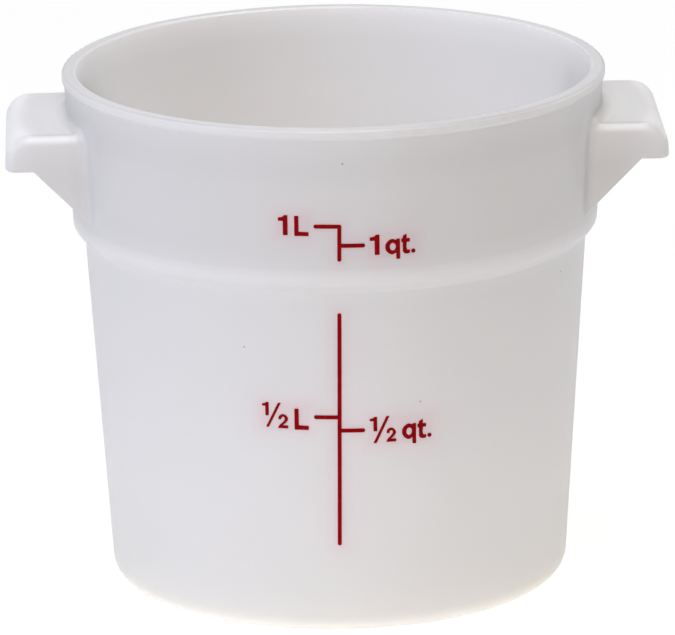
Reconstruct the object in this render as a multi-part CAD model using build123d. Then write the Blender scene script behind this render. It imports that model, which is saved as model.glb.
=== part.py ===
from build123d import *
from math import cos, hypot, radians, tan
import os

# A round polyethylene storage and proofing container with two hollow side handles
# and a printed capacity scale. Millimetres. The origin is the middle of the base,
# +Z is up, +X runs through the right handle and -Y faces the printed scale.

# Overall height, and the rim that every other radius hangs from
height = 125.5
rim_radius = 65.0
rim_land = 3.35
bead_height = 2.5
bead_proud = 0.54
bead_slope = 40.0
bead_top_round = 0.8
neck_round = 0.6
lip_round = 0.5

# Upper band and shoulder: the band reaches from the rim down to the crease
band_height = 40.3
band_wall = 2.75
band_draft = 2.5
shoulder_width = 2.7
shoulder_slope = 45.0
shoulder_round = 3.0
inner_shoulder_round = 1.5
crease_round = 0.8

# Lower wall, floor and foot
lower_wall = 1.8
lower_draft = 3.75
base_round = 5.8
inner_base_round = 5.0
floor_thickness = 1.8
foot_ring_width = 3.0
foot_recess = 0.6

# Handles: the drop is from the rim to the flat top, and the lip hangs from that top
handle_projection = 13.85
handle_width = 45.8
handle_drop = 10.4
handle_wall = 2.0
handle_corner = 6.0
handle_draft = 1.5
handle_edge_round = 2.4
handle_root_round = 2.4
pocket_corner = 4.0
lip_depth = 8.8
lip_lean = 3.0
lip_edge_round = 1.0
web_flat = 7.0
web_slope = 45.0

# Printed scale: drops are from the rim, heights are from the base
ink_thickness = 0.12
line_width = 0.95
tick_reach = 6.0
litre_drop = 23.3
quart_drop = 27.95
upper_line_drop = 31.8
half_litre_height = 54.6
half_quart_height = 51.3
lower_line_foot = 22.6
lower_line_gap = 5.3
print_turn = -2.3
print_tilt = 0.68

# One overrun for every cut, and how near a point counts as on a surface
overrun = 10.0
fit_tolerance = 0.01

bead_foot = height - bead_height
crease_height = height - band_height
shoulder_height = crease_height + shoulder_width * tan(radians(shoulder_slope))
floor_top = foot_recess + floor_thickness
handle_top = height - handle_drop
handle_reach = rim_radius + handle_projection
lip_foot = handle_top - lip_depth
mouth_radius = rim_radius - rim_land
neck_radius = rim_radius - bead_proud
band_low_radius = neck_radius - (bead_foot - shoulder_height) * tan(radians(band_draft))
crease_radius = band_low_radius - shoulder_width
base_radius = crease_radius - crease_height * tan(radians(lower_draft))


def lower_radius(z):
    """Outside radius of the lower wall at height z."""
    return base_radius + z * tan(radians(lower_draft))


def band_radius(z):
    """Outside radius of the upper band at height z."""
    return band_low_radius + (z - shoulder_height) * tan(radians(band_draft))


def rounded_profile(corners):
    """A flat face from (distance, height, rounding) corners."""
    face = make_face(Polyline([(r, z) for r, z, _ in corners], close=True))
    for r, z, rounding in corners:
        if rounding:
            vertex = face.vertices().sort_by_distance((r, z))[0]
            face = fillet(vertex, rounding)
    return face


def lathe(corners):
    """The profile turned about the vertical axis, with its seam at the back."""
    return revolve(Plane.YZ * rounded_profile(corners), Axis.Z)


def vessel_outside():
    """The outside of the vessel as one solid of revolution."""
    bead_rise = bead_proud / tan(radians(bead_slope))
    corners = [
        (0, 0, 0),
        (base_radius, 0, base_round),
        (crease_radius, crease_height, crease_round),
        (band_low_radius, shoulder_height, shoulder_round),
        (neck_radius, bead_foot, neck_round),
        (rim_radius, bead_foot + bead_rise, 0),
        (rim_radius, height, bead_top_round),
        (0, height, 0),
    ]
    return lathe(corners)


def vessel_inside():
    """The space inside the vessel, from the floor to past the rim."""
    wall_run = lower_wall / cos(radians(lower_draft))
    inner_crease = crease_radius - wall_run
    inner_band = band_low_radius - band_wall
    inner_rise = (inner_band - inner_crease) * tan(radians(shoulder_slope))
    corners = [
        (0, floor_top, 0),
        (lower_radius(floor_top) - wall_run, floor_top, inner_base_round),
        (inner_crease, crease_height, inner_shoulder_round),
        (inner_band, crease_height + inner_rise, inner_shoulder_round),
        (mouth_radius, height, 0),
        (mouth_radius, height + overrun, 0),
        (0, height + overrun, 0),
    ]
    return lathe(corners)


def foot_hollow():
    """The shallow recess that leaves a foot ring under the base."""
    recess_radius = base_radius - base_round - foot_ring_width
    corners = [
        (0, -overrun, 0),
        (recess_radius, -overrun, 0),
        (recess_radius, foot_recess, 0),
        (0, foot_recess, 0),
    ]
    return lathe(corners)


def container_shell():
    """Floor, lower wall, shoulder, band and rim, moulded in one."""
    shell = vessel_outside() - vessel_inside() - foot_hollow()
    mouth_edge = shell.edges().filter_by(GeomType.CIRCLE).sort_by(
        lambda edge: abs(edge.center().Z - height) + abs(edge.radius - mouth_radius)
    )[0]
    return fillet(mouth_edge, lip_round)


def band_core():
    """The band's outer cone as a full solid down to the base, which the handles are cut to."""
    return lathe([(0, 0, 0), (band_radius(0), 0, 0), (neck_radius, bead_foot, 0), (0, bead_foot, 0)])


def web_foot(x):
    """Height of the web's sloping lower edge at distance x from the axis."""
    knee = handle_reach - web_flat
    return lip_foot - (knee - x) * tan(radians(web_slope))


def side_profile_slab(corners):
    """A front-view profile of the handle, made long enough to span its width."""
    return extrude(Plane.XZ * rounded_profile(corners), handle_width, both=True)


def drafted_width(width, lowest):
    """A long block of the given width at the handle's top, widening downwards by the draft."""
    widening = (handle_top - lowest) * tan(radians(handle_draft))
    half = width / 2
    outline = Polyline(
        [(-half, handle_top), (half, handle_top), (half + widening, lowest), (-half - widening, lowest)],
        close=True,
    )
    return extrude(Plane.YZ * make_face(outline), handle_reach + overrun)


def handle_block():
    """The handle before it is hollowed, with its outer edges rounded."""
    root = band_radius(handle_top) / 2
    lean = lip_depth * tan(radians(lip_lean))
    slab = side_profile_slab([
        (root, handle_top, 0),
        (handle_reach - lean, handle_top, handle_corner),
        (handle_reach, lip_foot, 0),
        (handle_reach - web_flat, lip_foot, 0),
        (root, web_foot(root), 0),
    ])
    block = slab & drafted_width(handle_width, web_foot(0))
    ridges = [
        edge
        for edge in block.edges()
        if abs((edge @ 0.5).Y) > handle_width / 4
        and (edge @ 0.5).Z > lip_foot + lip_edge_round
        and (edge @ 0.5).X > root + handle_wall
    ]
    block = fillet(ridges, handle_edge_round)
    level_edges = block.edges().filter_by(Axis.Y)
    foot_edge = level_edges.filter_by(lambda edge: (edge @ 0.5).Z < handle_top).sort_by(Axis.X)[-1]
    return fillet(foot_edge, lip_edge_round)


def handle_pocket():
    """The finger hollow under the handle, open downwards."""
    lowest = web_foot(0)
    ceiling = handle_top - handle_wall
    slant = tan(radians(lip_lean))
    inner_reach = handle_reach - handle_wall / cos(radians(lip_lean)) - (ceiling - lip_foot) * slant
    slab = side_profile_slab([
        (0, ceiling, 0),
        (inner_reach, ceiling, pocket_corner),
        (inner_reach + (ceiling - lowest) * slant, lowest, 0),
        (0, lowest, 0),
    ])
    return slab & drafted_width(handle_width - 2 * handle_wall, lowest)


def is_root_edge(point):
    """Whether a point of an edge lies where the handle's top or side meets the band."""
    off_band = abs(hypot(point.X, point.Y) - band_radius(point.Z))
    off_slope = abs(point.Z - web_foot(point.X))
    on_handle_side = point.X > handle_width / 4 and point.Z < bead_foot - fit_tolerance
    return off_band < fit_tolerance < off_slope and on_handle_side


def right_handle():
    """A hollow pull handle that meets the band in a rounded root."""
    core = band_core()
    joined = handle_block() + core
    root_edges = joined.edges().filter_by(lambda edge: is_root_edge(edge @ 0.5))
    return fillet(root_edges, handle_root_round) - core - handle_pocket()


def left_handle():
    """The right handle turned half round the container."""
    return Rot(0, 0, 180) * right_handle()


def stroke(start, end):
    """A round-ended printed line between two points in front view."""
    run = Vector(*end) - Vector(*start)
    middle = (Vector(*start) + Vector(*end)) / 2
    turn = run.get_angle(Vector(1, 0))
    return Pos(middle.X, middle.Y) * SlotCenterToCenter(run.length, line_width, rotation=turn)


def scale_front(line_foot, line_top, litre_height, quart_height):
    """A front view of one scale: the upright line, its litre tick and its quart tick."""
    half_line = line_width / 2
    upright = stroke((0, line_foot + half_line), (0, line_top))
    litre_tick = stroke((half_line - tick_reach, litre_height), (0, litre_height))
    quart_tick = stroke((0, quart_height), (tick_reach - half_line, quart_height))
    return upright + litre_tick + quart_tick


def ink_on_wall(front_view, wall_radius):
    """The ink lying on the wall, whose outside radius is given for every height."""
    film = [(wall_radius(z), z) for z in (0, height)]
    coat = [(wall_radius(z) + ink_thickness, z) for z in (height, 0)]
    ink_layer = revolve(Plane.YZ * make_face(Polyline(film + coat, close=True)), Axis.Z)
    tilted_view = Rot(0, 0, -print_tilt) * front_view
    stamp = extrude(Plane.XZ * tilted_view, rim_radius + overrun)
    return Rot(0, 0, print_turn) * (ink_layer & stamp)


def upper_scale_print():
    """The whole-litre and whole-quart marks on the band."""
    litre_height = height - litre_drop
    front = scale_front(height - upper_line_drop, litre_height, litre_height, height - quart_drop)
    return ink_on_wall(front, band_radius)


def lower_scale_print():
    """The half-litre and half-quart marks on the lower wall."""
    line_top = crease_height - lower_line_gap
    front = scale_front(lower_line_foot, line_top, half_litre_height, half_quart_height)
    return ink_on_wall(front, lower_radius)


os.makedirs("parts", exist_ok=True)
for make_piece in (container_shell, left_handle, right_handle, upper_scale_print, lower_scale_print):
    piece = make_piece()
    export_step(piece, f"parts/{make_piece.__name__}.step")
    print(make_piece.__name__, round(piece.volume), "mm3", len(piece.solids()), "solid")
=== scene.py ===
# %% [markdown]
# A dough proofing container is one moulding in translucent white polyethylene with a red scale
# printed on it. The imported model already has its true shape, so this lesson loads it as a fixed
# frame and adds what the photograph shows on top: the printed figures, the finish of the plastic
# and the ink, a pale studio and the camera.

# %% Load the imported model
from math import cos, radians, sin, tan

import bmesh
import bpy
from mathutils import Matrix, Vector


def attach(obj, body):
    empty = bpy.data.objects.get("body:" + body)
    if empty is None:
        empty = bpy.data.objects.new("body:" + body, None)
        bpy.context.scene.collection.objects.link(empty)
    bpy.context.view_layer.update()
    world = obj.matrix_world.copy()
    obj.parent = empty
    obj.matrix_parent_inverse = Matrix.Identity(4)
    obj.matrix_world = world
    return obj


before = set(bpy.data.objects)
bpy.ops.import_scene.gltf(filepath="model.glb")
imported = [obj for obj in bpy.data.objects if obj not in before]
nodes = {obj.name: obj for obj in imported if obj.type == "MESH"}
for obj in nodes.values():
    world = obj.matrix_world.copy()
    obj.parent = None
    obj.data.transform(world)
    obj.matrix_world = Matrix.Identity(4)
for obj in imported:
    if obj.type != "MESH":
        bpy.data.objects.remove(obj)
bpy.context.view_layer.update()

scene = bpy.context.scene
MM = 0.001
print("packed nodes:", sorted(nodes))

# %% [markdown]
# The camera comes first, because every later choice is judged through it. Its place and lens were
# solved from the outlines of the rim, the wall and the base, so the model falls where the object
# does in a picture of 675 by 635 pixels. A long lens from almost two metres keeps the sides nearly
# parallel, as in a product shot.

# %% Camera
camera_data = bpy.data.cameras.new("product_camera")
camera_data.sensor_width = 36.0
camera_data.lens = 405.19
camera_data.clip_end = 20.0
camera = bpy.data.objects.new("product_camera", camera_data)
camera.location = (-0.0617104, -1.7671549, 0.5501486)
camera.rotation_euler = (radians(74.5903), radians(0.7641), radians(-2.2165))
scene.collection.objects.link(camera)
scene.camera = camera
print("camera", round(camera.location.length, 3), "m from the base")

# %% [markdown]
# The print lies on two cones: the steep upper band and the lower wall. Both are written here as an
# outside radius for a height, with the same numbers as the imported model, in millimetres. The scale
# sits a little to the left of the front.

# %% The two walls that carry print
BAND_LOW_Z, LOWER_DRAFT, BAND_DRAFT = 87.9, 3.75, 2.5
PRINT_TURN = radians(-1.6)
base_radius = 54.644
band_low_radius = 62.928


def lower_radius(z):
    """Outside radius of the lower wall at height z, in millimetres."""
    return base_radius + z * tan(radians(LOWER_DRAFT))


def band_radius(z):
    """Outside radius of the upper band at height z, in millimetres."""
    return band_low_radius + (z - BAND_LOW_Z) * tan(radians(BAND_DRAFT))


print("radius at 50 mm:", round(lower_radius(50), 2), " at 100 mm:", round(band_radius(100), 2))

# %% [markdown]
# Materials are built from nodes. These helpers keep the cells short: one starts a node tree, one
# adds a node with its settings, and the others do a sum, a fade between two values or a ramp.


# %% Helpers for node trees
def new_material(name):
    """A material with an empty node tree, and that tree."""
    material = bpy.data.materials.new(name)
    material.use_nodes = True
    material.node_tree.nodes.clear()
    return material, material.node_tree


def add_node(tree, kind, settings=None, inputs=None):
    """A node of the given kind. Each input is a value, or a socket to link from."""
    node = tree.nodes.new(kind)
    for name, value in (settings or {}).items():
        setattr(node, name, value)
    for key, value in (inputs or {}).items():
        if isinstance(value, bpy.types.NodeSocket):
            tree.links.new(value, node.inputs[key])
        else:
            node.inputs[key].default_value = value
    return node


def sum_node(tree, operation, *terms):
    """The result of a Math node on values or sockets."""
    settings = {"operation": operation}
    return add_node(tree, "ShaderNodeMath", settings, dict(enumerate(terms))).outputs[0]


def fade(tree, value, start, end, low=0.0, high=1.0):
    """Goes smoothly from low to high while the value goes from start to end."""
    settings = {"interpolation_type": "SMOOTHSTEP"}
    inputs = {"Value": value, "From Min": start, "From Max": end, "To Min": low, "To Max": high}
    return add_node(tree, "ShaderNodeMapRange", settings, inputs).outputs["Result"]


def grey_ramp(tree, factor, stops):
    """A brightness read from (place, brightness) stops, eased between them."""
    node = add_node(tree, "ShaderNodeValToRGB", None, {"Fac": factor})
    ramp = node.color_ramp
    ramp.interpolation = "EASE"
    while len(ramp.elements) < len(stops):
        ramp.elements.new(0.5)
    for element, (position, grey) in zip(ramp.elements, stops):
        element.position = position
        element.color = (grey, grey, grey, 1.0)
    return node.outputs["Color"]


def tinted(tree, first, second, factor=1.0):
    """Two colours multiplied, by the given share."""
    settings = {"data_type": "RGBA", "blend_type": "MULTIPLY"}
    node = add_node(tree, "ShaderNodeMix", settings, {0: factor})
    for socket, value in ((node.inputs[6], first), (node.inputs[7], second)):
        if isinstance(value, bpy.types.NodeSocket):
            tree.links.new(value, socket)
        else:
            socket.default_value = (*value, 1.0)
    return node.outputs[2]


def show_surface(tree, shader):
    """Link a shader to the material's surface."""
    add_node(tree, "ShaderNodeOutputMaterial", None, {"Surface": shader})


# %% [markdown]
# Paint can follow the shape of the object. Three readings are used again and again: the height
# above the base, the distance from the axis, and the distance that a point of a handle stands off
# the band.


# %% Readings of a place
def parts_of(tree, vector):
    """The X, Y and Z of a vector."""
    return add_node(tree, "ShaderNodeSeparateXYZ", None, {0: vector}).outputs


def vector_node(tree, operation, *terms):
    """A Vector Math node on vectors."""
    settings = {"operation": operation}
    return add_node(tree, "ShaderNodeVectorMath", settings, dict(enumerate(terms))).outputs


def level_part(tree, place):
    """The place seen from above: its height is left out."""
    spot = parts_of(tree, place)
    inputs = {"X": spot["X"], "Y": spot["Y"]}
    return add_node(tree, "ShaderNodeCombineXYZ", None, inputs).outputs[0]


def distance_from_axis(tree, place):
    """How far the place is from the container's axis, in metres."""
    return vector_node(tree, "LENGTH", level_part(tree, place))["Value"]


def stand_off(tree, place):
    """How far a place lies outside the band's cone, in metres."""
    slope = tan(radians(BAND_DRAFT))
    foot = (band_low_radius - BAND_LOW_Z * slope) * MM
    cone = sum_node(tree, "MULTIPLY_ADD", parts_of(tree, place)["Z"], slope, foot)
    return sum_node(tree, "SUBTRACT", distance_from_axis(tree, place), cone)


print("the band's cone starts from a radius of", round(band_radius(0), 2), "mm at the base")

# %% [markdown]
# Red ink on milky plastic colours the plastic round it, because light that passes under the ink
# comes out beside it. That bleed is a pink halo, about two millimetres wide. It is painted by the
# distance to the printed lines and words. Each of them is a box on the unrolled wall, given as its
# middle and its half size, in arc from the scale's middle line and in height. The print leans a
# little, so the arc is read from a leaning line.

# %% Where the print lies on the unrolled wall
PRINT_LEAN, LEAN_FROM = 0.0119, 62.0
HALO = 1.7
PRINT_BOXES = [
    ((0.0, 97.9), (0.45, 4.2)), ((-2.8, 102.2), (2.8, 0.45)), ((2.8, 97.4), (2.8, 0.45)),
    ((-10.75, 102.4), (3.6, 2.4)), ((12.45, 97.0), (5.4, 2.6)),
    ((0.0, 51.5), (0.45, 28.9)), ((-2.8, 54.6), (2.8, 0.45)), ((2.8, 51.2), (2.8, 0.45)),
    ((-12.9, 54.7), (5.6, 2.8)), ((14.6, 50.8), (7.4, 3.0)),
]


def nearness_to_print(tree, place):
    """One at the print, falling to nothing a few millimetres away from it."""
    spot = parts_of(tree, place)
    turn = sum_node(tree, "ARCTAN2", spot["X"], sum_node(tree, "MULTIPLY", spot["Y"], -1.0))
    turn = sum_node(tree, "SUBTRACT", turn, PRINT_TURN)
    arc = sum_node(tree, "MULTIPLY", turn, distance_from_axis(tree, place))
    lean = sum_node(tree, "MULTIPLY_ADD", spot["Z"], PRINT_LEAN, -PRINT_LEAN * LEAN_FROM * MM)
    arc = sum_node(tree, "SUBTRACT", arc, lean)
    flat = add_node(tree, "ShaderNodeCombineXYZ", None, {"X": arc, "Y": spot["Z"]}).outputs[0]
    nearest = None
    for (middle_arc, middle_z), (half_arc, half_z) in PRINT_BOXES:
        offset = vector_node(tree, "SUBTRACT", flat, (middle_arc * MM, middle_z * MM, 0.0))[0]
        offset = vector_node(tree, "ABSOLUTE", offset)[0]
        outside = vector_node(tree, "SUBTRACT", offset, (half_arc * MM, half_z * MM, 0.0))[0]
        outside = vector_node(tree, "MAXIMUM", outside, (0.0, 0.0, 0.0))[0]
        away = vector_node(tree, "LENGTH", outside)["Value"]
        nearest = away if nearest is None else sum_node(tree, "MINIMUM", nearest, away)
    return sum_node(tree, "EXPONENT", sum_node(tree, "DIVIDE", nearest, -HALO * MM))


print(len(PRINT_BOXES), "printed boxes bleed into the plastic")

# %% [markdown]
# Polyethylene is milky: light goes into the wall, is scattered and comes out on the other side, so
# the inside of the container glows and edges look soft. A Principled shader for the satin surface
# is mixed with a Translucent one for the light that comes through. Subsurface scattering would
# darken the joint where a handle's mesh touches the wall's, which is one moulding on the real
# object, so it isn't used. The gloss is doubled, because the mix lets only half of it through.
#
# Moulded polyethylene is never quite even: it has faint clouds, a slight waviness, a fine grain and
# a few dark specks of burnt material. Each comes from a texture with its own number of waves to the
# metre. The roughness follows the waviness within a narrow range, since the eye finds steps in it
# at once.

# %% Milky satin plastic
SHARE_THROUGH = 0.5
MILK = (0.86, 0.86, 0.86)
SPECK = (0.62, 0.56, 0.52)
SPECK_DRAW = 0.87
CLOUDS, WAVES, SPECK_CELLS, GRAIN = 30.0, 90.0, 170.0, 1400.0
DOUBLE_GLOSS = 1.0
SMOOTHEST, ROUGHEST = 0.29, 0.33


def noise(tree, place, scale, detail):
    """A noise texture with this many waves to the metre."""
    inputs = {"Vector": place, "Scale": scale, "Detail": detail}
    return add_node(tree, "ShaderNodeTexNoise", None, inputs).outputs["Fac"]


def show_milky(tree, place, milk):
    """The given colour as milky satin plastic, with faint clouds and a few dark specks."""
    milk = tinted(tree, milk, fade(tree, noise(tree, place, CLOUDS, 2.0), 0.3, 0.7, 0.993, 1.0))
    cells = {"Vector": place, "Scale": SPECK_CELLS}
    cell = add_node(tree, "ShaderNodeTexVoronoi", None, cells).outputs
    speck = fade(tree, cell["Distance"], 0.03, 0.06, 1.0, 0.0)
    draw = add_node(tree, "ShaderNodeSeparateColor", None, {0: cell["Color"]}).outputs[0]
    speck = sum_node(tree, "MULTIPLY", speck, sum_node(tree, "GREATER_THAN", draw, SPECK_DRAW))
    milk = tinted(tree, milk, SPECK, speck)
    wave = noise(tree, place, WAVES, 1.0)
    fine = {"Strength": 0.4, "Distance": 0.01 * MM, "Height": noise(tree, place, GRAIN, 2.0)}
    relief = add_node(tree, "ShaderNodeBump", None, fine).outputs[0]
    broad = {"Strength": 0.5, "Distance": 0.06 * MM, "Height": wave, "Normal": relief}
    relief = add_node(tree, "ShaderNodeBump", None, broad).outputs[0]
    satin = {"Base Color": milk, "Specular IOR Level": DOUBLE_GLOSS, "Normal": relief}
    satin["Roughness"] = fade(tree, wave, 0.3, 0.7, SMOOTHEST, ROUGHEST)
    surface = add_node(tree, "ShaderNodeBsdfPrincipled", None, satin).outputs[0]
    diffused = {"Color": milk, "Normal": relief}
    through = add_node(tree, "ShaderNodeBsdfTranslucent", None, diffused).outputs[0]
    layers = {0: SHARE_THROUGH, 1: surface, 2: through}
    show_surface(tree, add_node(tree, "ShaderNodeMixShader", None, layers).outputs[0])


print("milk colour", MILK, "with a speck in one cell of", round(1 / (1 - SPECK_DRAW)))

# %% [markdown]
# Light and shade over the height are painted into the milk's colour: the thick band is painted
# darker than the thin lower wall, the turned-in shoulder is painted a little brighter than the wall
# under it, and the foot is painted with a glow, as if lit from below. Those painted zones are a ramp
# of shares of the milk's colour over the height in millimetres, one for the outside and one for the
# inside. The inside is painted evenly lit, and a little brighter just under the rim. The flat land
# on top of the rim is painted a shade darker than the walls, a painted shade over its highlight. The
# band beside the handles is painted lighter, a painted light over the shade at the joint.

# %% Plastic of the shell
HEIGHT_MM = 125.5
WALL_PAINTED_SHADING = [
    (0, 1.16), (1.5, 1.16), (2.3, 1.065), (3.4, 0.985), (4.6, 0.94), (10, 0.943), (32, 0.955),
    (78, 0.93), (81.3, 0.932), (83, 0.945), (84.5, 0.958), (86, 0.955), (87.5, 0.966), (89, 0.972),
    (90.5, 0.932), (92, 0.875), (96, 0.857), (104, 0.864), (110, 0.862), (116, 0.838),
    (122.7, 0.864), (123.4, 0.9), (125.5, 0.895)]
INSIDE_PAINTED_SHADING = [(0, 1.02), (104, 1.018), (112, 1.0), (118, 0.988), (121.5, 1.01), (125.5, 1.065)]
BESIDE_PAINTED_LIGHT = 0.07
LAND_PAINTED_SHADE = (0.875, 0.875, 0.875)
BLEED = (1.0, 0.90, 0.92)
shell_plastic, tree = new_material("moulded_polyethylene")
place = add_node(tree, "ShaderNodeTexCoord").outputs["Object"]
spot = parts_of(tree, place)
normal = add_node(tree, "ShaderNodeNewGeometry").outputs["True Normal"]
outward = vector_node(tree, "NORMALIZE", level_part(tree, place))[0]
outside = fade(tree, vector_node(tree, "DOT_PRODUCT", outward, normal)["Value"], -0.3, 0.2)
height_share = sum_node(tree, "DIVIDE", spot["Z"], HEIGHT_MM * MM)
# Painted light and shade: ramps of the milk's colour over the height, outside and inside.
outer_painted_shading = grey_ramp(tree, height_share, [(z / HEIGHT_MM, grey) for z, grey in WALL_PAINTED_SHADING])
inner_painted_shading = grey_ramp(tree, height_share, [(z / HEIGHT_MM, grey) for z, grey in INSIDE_PAINTED_SHADING])
milk = tinted(tree, MILK, outer_painted_shading, outside)
milk = tinted(tree, milk, inner_painted_shading, sum_node(tree, "SUBTRACT", 1.0, outside))
# Painted light: the band beside the handles is painted lighter, over the shade at the joint.
painted_light_beside = fade(tree, sum_node(tree, "ABSOLUTE", spot["Y"]), 25 * MM, 30 * MM, BESIDE_PAINTED_LIGHT, 0.0)
painted_light_beside = sum_node(tree, "MULTIPLY", painted_light_beside, fade(tree, spot["Z"], 92 * MM, 97 * MM))
painted_light_beside = sum_node(tree, "MULTIPLY", painted_light_beside, fade(tree, spot["Z"], 116 * MM, 120 * MM, 1.0, 0.0))
milk = tinted(tree, milk, sum_node(tree, "ADD", painted_light_beside, 1.0), outside)
# Painted shade: the upward-facing land on top of the rim is painted darker, over its highlight.
land_painted_shade = fade(tree, parts_of(tree, normal)["Z"], 0.3, 0.9)
land_painted_shade = sum_node(tree, "MULTIPLY", land_painted_shade, fade(tree, spot["Z"], 124.5 * MM, 125.3 * MM))
milk = tinted(tree, milk, LAND_PAINTED_SHADE, land_painted_shade)
milk = tinted(tree, milk, BLEED, nearness_to_print(tree, place))
show_milky(tree, place, milk)
print("shell:", len(WALL_PAINTED_SHADING), "stops from base to rim outside,", len(INSIDE_PAINTED_SHADING), "inside")

# %% [markdown]
# A handle is one wall thick with air under it. Its light and shade are painted into the colour: the
# sides are painted darker than the top, and a little lighter higher up. Two ramps give the painted
# shares of the milk's colour over the distance that a point stands off the band: one for the top and
# the far end, which is painted lightest, and one for the sides. Both are painted lighter next to the
# band, a painted light over the shade at the joint. How far the surface faces sideways chooses
# between them. The rounded ridge between top and side gets a painted highlight, a pale strip, with
# a thin painted dark line above it where the top begins.

# %% Plastic of the handles
REACH = 16
# Painted light and shade of the handles: top and end lighter, sides darker, lighter at the joint.
TOP_PAINTED_SHADING = [
    (0, 1.03), (2, 0.96), (4, 0.91), (8, 0.884), (10, 0.905), (12.5, 1.015), (13.5, 1.045)]
SIDE_PAINTED_SHADING = [(0, 0.91), (1.5, 0.885), (3, 0.862), (8, 0.842)]
RIDGE_PAINTED_HIGHLIGHT, LINE_PAINTED_SHADE = 0.13, -0.09
handle_plastic, tree = new_material("handle_polyethylene")
place = add_node(tree, "ShaderNodeTexCoord").outputs["Object"]
off_band = sum_node(tree, "DIVIDE", stand_off(tree, place), REACH * MM)
top = grey_ramp(tree, off_band, [(gap / REACH, grey) for gap, grey in TOP_PAINTED_SHADING])
side = grey_ramp(tree, off_band, [(gap / REACH, grey) for gap, grey in SIDE_PAINTED_SHADING])
side = tinted(tree, side, fade(tree, parts_of(tree, place)["Z"], 104 * MM, 113 * MM, 1.0, 1.05))
normal = parts_of(tree, add_node(tree, "ShaderNodeNewGeometry").outputs["Normal"])
sideways = sum_node(tree, "ABSOLUTE", normal["Y"])
upward = sum_node(tree, "ABSOLUTE", normal["Z"])
top = tinted(tree, top, fade(tree, sideways, 0.25, 0.7, 1.0, 0.0))
side = tinted(tree, side, fade(tree, sideways, 0.25, 0.7))
share = vector_node(tree, "ADD", top, side)[0]
# Painted highlight: a pale strip along the rounded ridge between top and side.
ridge_highlight = fade(tree, sideways, 0.55, 0.85, 0.0, RIDGE_PAINTED_HIGHLIGHT)
ridge_highlight = sum_node(tree, "MULTIPLY", ridge_highlight, fade(tree, upward, 0.1, 0.5))
ridge_highlight = sum_node(tree, "MULTIPLY", ridge_highlight, fade(tree, off_band, 0.02, 0.25))
ridge_highlight = sum_node(tree, "MULTIPLY", ridge_highlight, fade(tree, off_band, 0.75, 0.95, 1.0, 0.2))
# Painted shade: a thin dark line above the ridge, where the top begins.
ridge_dark_line = fade(tree, sideways, 0.3, 0.55, LINE_PAINTED_SHADE, 0.0)
ridge_dark_line = sum_node(tree, "MULTIPLY", ridge_dark_line, fade(tree, sideways, 0.02, 0.15))
share = tinted(tree, share, sum_node(tree, "ADD", sum_node(tree, "ADD", ridge_highlight, ridge_dark_line), 1.0))
show_milky(tree, place, tinted(tree, MILK, share))
print("handles: top", TOP_PAINTED_SHADING, "sides", SIDE_PAINTED_SHADING)

# %% [markdown]
# The ink is an opaque dark red film, slightly uneven where it took less well. It dries almost
# without gloss.

# %% Red printing ink
INK_RED = (0.21, 0.0004, 0.0025)
ink, tree = new_material("printing_ink")
place = add_node(tree, "ShaderNodeTexCoord").outputs["Object"]
thinness = fade(tree, noise(tree, place, 900.0, 3.0), 0.35, 0.7, 0.85, 1.15)
red = tinted(tree, INK_RED, thinness)
matt = {"Base Color": red, "Roughness": 0.6, "Specular IOR Level": 0.03}
show_surface(tree, add_node(tree, "ShaderNodeBsdfPrincipled", None, matt).outputs[0])

FINISH = {
    "container_shell": shell_plastic,
    "left_handle": handle_plastic,
    "right_handle": handle_plastic,
    "upper_scale_print": ink,
    "lower_scale_print": ink,
}
for name, finish in FINISH.items():
    nodes[name].data.materials.clear()
    nodes[name].data.materials.append(finish)
print("dressed", len(FINISH), "nodes")

# %% [markdown]
# The figures and unit letters of the scale are printed next to the lines. The built-in font has a
# foot under its 1 and thin strokes, so each sign is drawn as a flat outline instead: a few points
# in a box that is one unit wide and high, some of them corners and some smooth.


# %% Outlines of the printed signs
def corners(*points):
    """Points where an outline turns sharply."""
    return [(x, y, "VECTOR") for x, y in points]


def smooth(*points):
    """Points that an outline passes in a curve."""
    return [(x, y, "AUTO") for x, y in points]


SIGNS = {
    "1": [corners((0.5, 0), (1, 0), (1, 1), (0.66, 1)) + smooth((0.42, 0.91))
          + corners((0, 0.87), (0, 0.71), (0.5, 0.71))],
    "2": [corners((0, 0), (1, 0), (1, 0.21), (0.46, 0.21))
          + smooth((0.82, 0.44), (0.98, 0.71), (0.51, 1), (0.11, 0.86))
          + corners((0.03, 0.63), (0.32, 0.63))
          + smooth((0.38, 0.77), (0.52, 0.82), (0.67, 0.70), (0.50, 0.46), (0.12, 0.20))],
    "/": [corners((0, 0), (0.19, 0), (1, 1), (0.81, 1))],
    "L": [corners((0, 0), (1, 0), (1, 0.19), (0.3, 0.21), (0.3, 1), (0, 1))],
    "q": [corners((0.74, 0), (1, 0), (1, 1), (0.76, 1), (0.75, 0.95))
          + smooth((0.42, 1), (0, 0.62), (0.42, 0.245)) + corners((0.74, 0.31)),
          smooth((0.31, 0.62), (0.51, 0.43), (0.71, 0.62), (0.51, 0.81))],
    "t": [corners((0.17, 0.59), (0, 0.59), (0, 0.77), (0.17, 0.77), (0.17, 0.9), (0.62, 1),
                  (0.62, 0.77), (1, 0.77), (1, 0.59), (0.62, 0.59))
          + smooth((0.62, 0.27), (0.72, 0.19)) + corners((1, 0.19), (1, 0.02))
          + smooth((0.58, 0), (0.23, 0.08), (0.17, 0.27))],
    ".": [smooth((0.5, 0), (1, 0.5), (0.5, 1), (0, 0.5))],
}
print("signs:", " ".join(SIGNS))

# %% [markdown]
# A flat curve fills its outline, and an inner outline becomes a hole, as in the q. Each sign is
# stretched to its own box on the unrolled wall and made a mesh. Its sharp corners are drawn as
# short arcs, because ink runs round in a corner: one corner becomes two curve points, whose inner
# handles both point at the corner itself.

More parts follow.
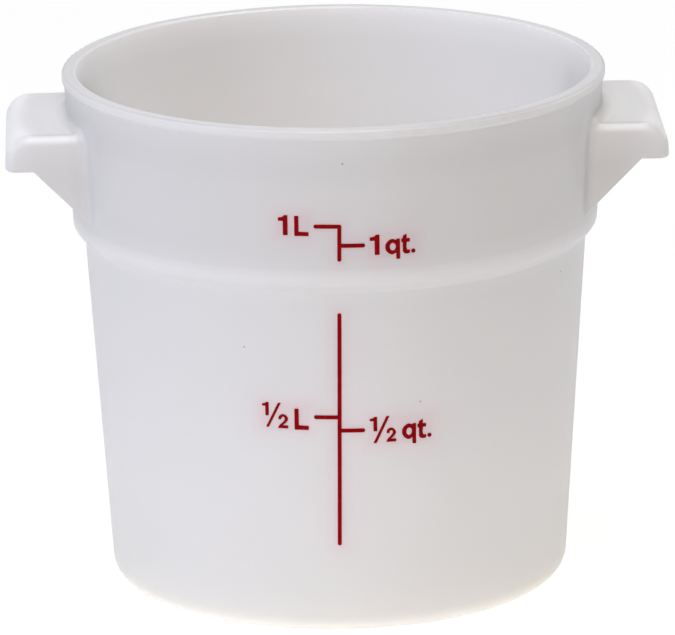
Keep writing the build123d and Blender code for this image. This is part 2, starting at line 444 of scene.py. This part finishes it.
# %% A flat sign
CORNER_ROUND = 0.16
ARC_PULL = 0.55


def with_round_corners(outline):
    """The outline as curve points, each with its free handle's side and place."""
    points = []
    for index, (here, kind) in enumerate(outline):
        if kind == "AUTO":
            points.append((here, None, None))
            continue
        before, after = outline[index - 1][0], outline[(index + 1) % len(outline)][0]
        for neighbour, side in ((before, "right"), (after, "left")):
            run = neighbour - here
            start = here + run.normalized() * min(CORNER_ROUND, run.length / 3)
            points.append((start, side, start.lerp(here, ARC_PULL)))
    return points


def flat_sign(sign, left, right, foot, top):
    """A bmesh of one sign in its box on the unrolled wall, in millimetres."""
    curve = bpy.data.curves.new("sign", "CURVE")
    curve.dimensions = "2D"
    curve.fill_mode = "BOTH"
    corner, size = Vector((left, foot, 0.0)), Vector((right - left, top - foot, 0.0))
    for outline in SIGNS[sign]:
        placed = [(corner + size * Vector((x, y, 0.0)), kind) for x, y, kind in outline]
        points = with_round_corners(placed)
        spline = curve.splines.new("BEZIER")
        spline.use_cyclic_u = True
        spline.resolution_u = 6
        spline.bezier_points.add(len(points) - 1)
        for point, (place, free_side, free_handle) in zip(spline.bezier_points, points):
            point.co = place
            point.handle_left_type = point.handle_right_type = "VECTOR" if free_side else "AUTO"
            if free_side:
                setattr(point, f"handle_{free_side}_type", "FREE")
                setattr(point, f"handle_{free_side}", free_handle)
    holder = bpy.data.objects.new("sign", curve)
    scene.collection.objects.link(holder)
    finished = holder.evaluated_get(bpy.context.evaluated_depsgraph_get())
    mesh = bpy.data.meshes.new_from_object(finished)
    flat = bmesh.new()
    flat.from_mesh(mesh)
    bpy.data.objects.remove(holder)
    bpy.data.curves.remove(curve)
    bpy.data.meshes.remove(mesh)
    bmesh.ops.remove_doubles(flat, verts=flat.verts, dist=0.001)
    return flat


print("a flat 2 has", len(flat_sign("2", 0, 3, 0, 5).verts), "points")

# %% [markdown]
# A label is a few flat signs wrapped on the wall. Each sign is given by its letter and its box:
# left and right as arc from the scale's middle line, foot and top as height, in millimetres. Long
# faces are first cut by upright planes, so that they can bend. The ink gets a thickness of about a
# tenth of a millimetre and reaches a hair into the wall, so that no gap shows. Then each point
# moves from arc and height to its place on the cone.

# %% Labels wrapped on the wall
INK = 0.12
SUNK = 0.03
SLICE = 0.6


def wrapped_label(name, signs, wall_radius):
    """A printed label as its own piece, riding on the container."""
    label = bmesh.new()
    for sign, left, right, foot, top in signs:
        flat = flat_sign(sign, left, right, foot, top)
        cut = left + SLICE
        while cut < right:
            everything = flat.verts[:] + flat.edges[:] + flat.faces[:]
            bmesh.ops.bisect_plane(
                flat, geom=everything, dist=0.0001, plane_co=(cut, 0, 0), plane_no=(1, 0, 0))
            cut += SLICE
        front = bmesh.ops.extrude_face_region(flat, geom=flat.faces[:])["geom"]
        raised = [part for part in front if isinstance(part, bmesh.types.BMVert)]
        bmesh.ops.translate(flat, verts=raised, vec=(0, 0, INK + SUNK))
        bmesh.ops.recalc_face_normals(flat, faces=flat.faces)
        part_mesh = bpy.data.meshes.new("sign")
        flat.to_mesh(part_mesh)
        flat.free()
        label.from_mesh(part_mesh)
        bpy.data.meshes.remove(part_mesh)
    for vertex in label.verts:
        arc, z, lift = vertex.co
        radius = wall_radius(z)
        turn = PRINT_TURN + arc / radius
        reach = (radius + lift - SUNK) * MM
        vertex.co = (reach * sin(turn), -reach * cos(turn), z * MM)
    bmesh.ops.recalc_face_normals(label, faces=label.faces)
    mesh = bpy.data.meshes.new(name)
    label.to_mesh(mesh)
    label.free()
    mesh.polygons.foreach_set("use_smooth", [True] * len(mesh.polygons))
    mesh.set_sharp_from_angle(angle=radians(30))
    mesh.materials.append(ink)
    piece = bpy.data.objects.new(name, mesh)
    scene.collection.objects.link(piece)
    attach(piece, "root")
    print(name, len(mesh.polygons), "faces")


wrapped_label("whole_litre_label", [
    ("1", -13.88, -11.63, 100.04, 104.90), ("L", -10.06, -6.71, 99.92, 104.78)], band_radius)
wrapped_label("whole_quart_label", [
    ("1", 7.46, 9.77, 95.02, 99.93), ("q", 11.10, 14.62, 93.73, 98.65),
    ("t", 14.95, 17.00, 94.88, 99.72), (".", 17.32, 18.34, 94.94, 95.96)], band_radius)
wrapped_label("half_litre_label", [
    ("1", -18.50, -16.88, 54.65, 57.99), ("/", -17.57, -13.91, 51.84, 57.95),
    ("2", -14.66, -12.21, 51.67, 55.14), ("L", -10.69, -7.30, 51.45, 56.66)], lower_radius)
wrapped_label("half_quart_label", [
    ("1", 7.02, 8.75, 50.82, 54.41), ("/", 7.83, 11.72, 47.87, 54.44),
    ("2", 10.89, 13.27, 48.00, 51.46), ("q", 14.71, 18.15, 47.08, 52.10),
    ("t", 18.53, 20.67, 48.14, 52.93), (".", 21.01, 22.02, 48.24, 49.23)], lower_radius)

# %% [markdown]
# The studio is plain: a white floor and background, soft lamps and some light from the room
# itself. The world decides by the kind of ray what is seen. The camera sees the background white,
# the gloss of the plastic mirrors a white backdrop low down and a dim ceiling above it, and every
# other ray gets the dim room, so the white background adds no light to the object.

# %% Soft room light
ROOM, DARK_CEILING, WHITE = 0.3, 0.05, (1.0, 1.0, 1.0, 1.0)
scene.view_settings.view_transform = "Standard"
world = bpy.data.worlds.new("studio")
world.use_nodes = True
tree = world.node_tree
tree.nodes.clear()
path = add_node(tree, "ShaderNodeLightPath").outputs
direction = add_node(tree, "ShaderNodeTexCoord").outputs["Generated"]
mirrored = fade(tree, parts_of(tree, direction)["Z"], 0.3, 0.55, 1.0, DARK_CEILING)


def background(tree, strength):
    """White light from all round, of the given strength."""
    inputs = {"Color": WHITE, "Strength": strength}
    return add_node(tree, "ShaderNodeBackground", None, inputs).outputs[0]


def chosen(tree, share, first, second):
    """The first shader where the share is nought, and the second where it is one."""
    inputs = {0: share, 1: first, 2: second}
    return add_node(tree, "ShaderNodeMixShader", None, inputs).outputs[0]


light = chosen(tree, path["Is Glossy Ray"], background(tree, ROOM), background(tree, mirrored))
light = chosen(tree, path["Is Camera Ray"], light, background(tree, 1.0))
add_node(tree, "ShaderNodeOutputWorld", None, {"Surface": light})
scene.world = world
print("room light", ROOM)

# %% [markdown]
# The floor is a large flat grid. A white table under bright lamps glows, most of all next to the
# foot of the container, so a pool of warm light is added there, and it is faint under the container.
# To the camera the floor is mostly plain white. The rest of what it sees is the lit floor, which
# keeps the container's shadow.

# %% White floor
FLOOR_SHARE_WHITE = 0.85
POOL, RING, UNDER = 0.405, 0.15, 0.3
PALE, WARM = (0.85, 0.85, 0.85, 1.0), (1.0, 0.912, 0.711, 1.0)
floor_mesh = bpy.data.meshes.new("studio_floor")
bm = bmesh.new()
bmesh.ops.create_grid(bm, x_segments=1, y_segments=1, size=6.0)
bm.to_mesh(floor_mesh)
bm.free()
floor = bpy.data.objects.new("studio_floor", floor_mesh)
scene.collection.objects.link(floor)

floor_paint, tree = new_material("floor_paint")
path = add_node(tree, "ShaderNodeLightPath").outputs
place = add_node(tree, "ShaderNodeTexCoord").outputs["Object"]
away = vector_node(tree, "LENGTH", place)["Value"]
pool = fade(tree, away, 0.04, 0.18, POOL, 0.0)
ring = fade(tree, away, 0.055, 0.072, RING, 0.0)
ring = sum_node(tree, "MULTIPLY", ring, fade(tree, away, 0.045, 0.052))
pool = sum_node(tree, "ADD", pool, ring)
pool = sum_node(tree, "MULTIPLY", pool, fade(tree, away, 0.035, 0.055, UNDER, 1.0))
lit = add_node(tree, "ShaderNodeBsdfDiffuse", None, {"Color": PALE}).outputs[0]
bounce = add_node(tree, "ShaderNodeEmission", None, {"Color": WARM, "Strength": pool}).outputs[0]
lit = add_node(tree, "ShaderNodeAddShader", None, {0: lit, 1: bounce}).outputs[0]
white = add_node(tree, "ShaderNodeEmission", None, {"Color": WHITE, "Strength": 1.0}).outputs[0]
share = sum_node(tree, "MULTIPLY", path["Is Camera Ray"], FLOOR_SHARE_WHITE)
show_surface(tree, chosen(tree, share, lit, white))
floor_mesh.materials.append(floor_paint)
print("floor glow", POOL, "and", RING, "more at the foot")

# %% [markdown]
# Large square softboxes stand all round, as in a product studio. The strongest hang overhead and
# stand at the left. The lamps in front are warm and those at the left are cool, because the
# photograph's left side is bluish and its right side is warm grey. Their powers were found by
# rendering each lamp alone and fitting the sum to the photograph's tones.


# %% Softboxes
LAMP_TARGET = Vector((0.0, 0.0, 0.06))


def softbox(name, place, size, power, colour):
    """A square area lamp aimed at the middle of the container."""
    lamp = bpy.data.lights.new(name, "AREA")
    lamp.size = size
    lamp.energy = power
    lamp.color = colour
    lamp_object = bpy.data.objects.new(name, lamp)
    lamp_object.location = place
    aim = LAMP_TARGET - Vector(place)
    lamp_object.rotation_euler = aim.to_track_quat("-Z", "Y").to_euler()
    scene.collection.objects.link(lamp_object)
    print(name, power, "W")


softbox("left_softbox", (-1.45, -0.85, 0.7), 1.0, 12.6, (0.668, 0.768, 1.0))
softbox("front_softbox", (0.0, -1.9, 1.0), 1.0, 5.6, (1.0, 0.676, 0.412))
softbox("high_front_softbox", (0.0, -0.9, 1.5), 0.8, 9.8, (1.0, 0.904, 0.846))
softbox("high_left_softbox", (-0.9, -0.5, 1.5), 0.8, 3.2, (0.404, 0.542, 1.0))
softbox("top_softbox", (0.0, 0.0, 1.7), 1.0, 16.4, (0.897, 0.945, 1.0))
softbox("back_right_softbox", (1.3, 0.7, 0.9), 1.0, 5.5, (1.0, 0.894, 0.793))
softbox("back_left_softbox", (-1.3, 0.7, 0.9), 1.0, 2.8, (1.0, 0.779, 0.487))
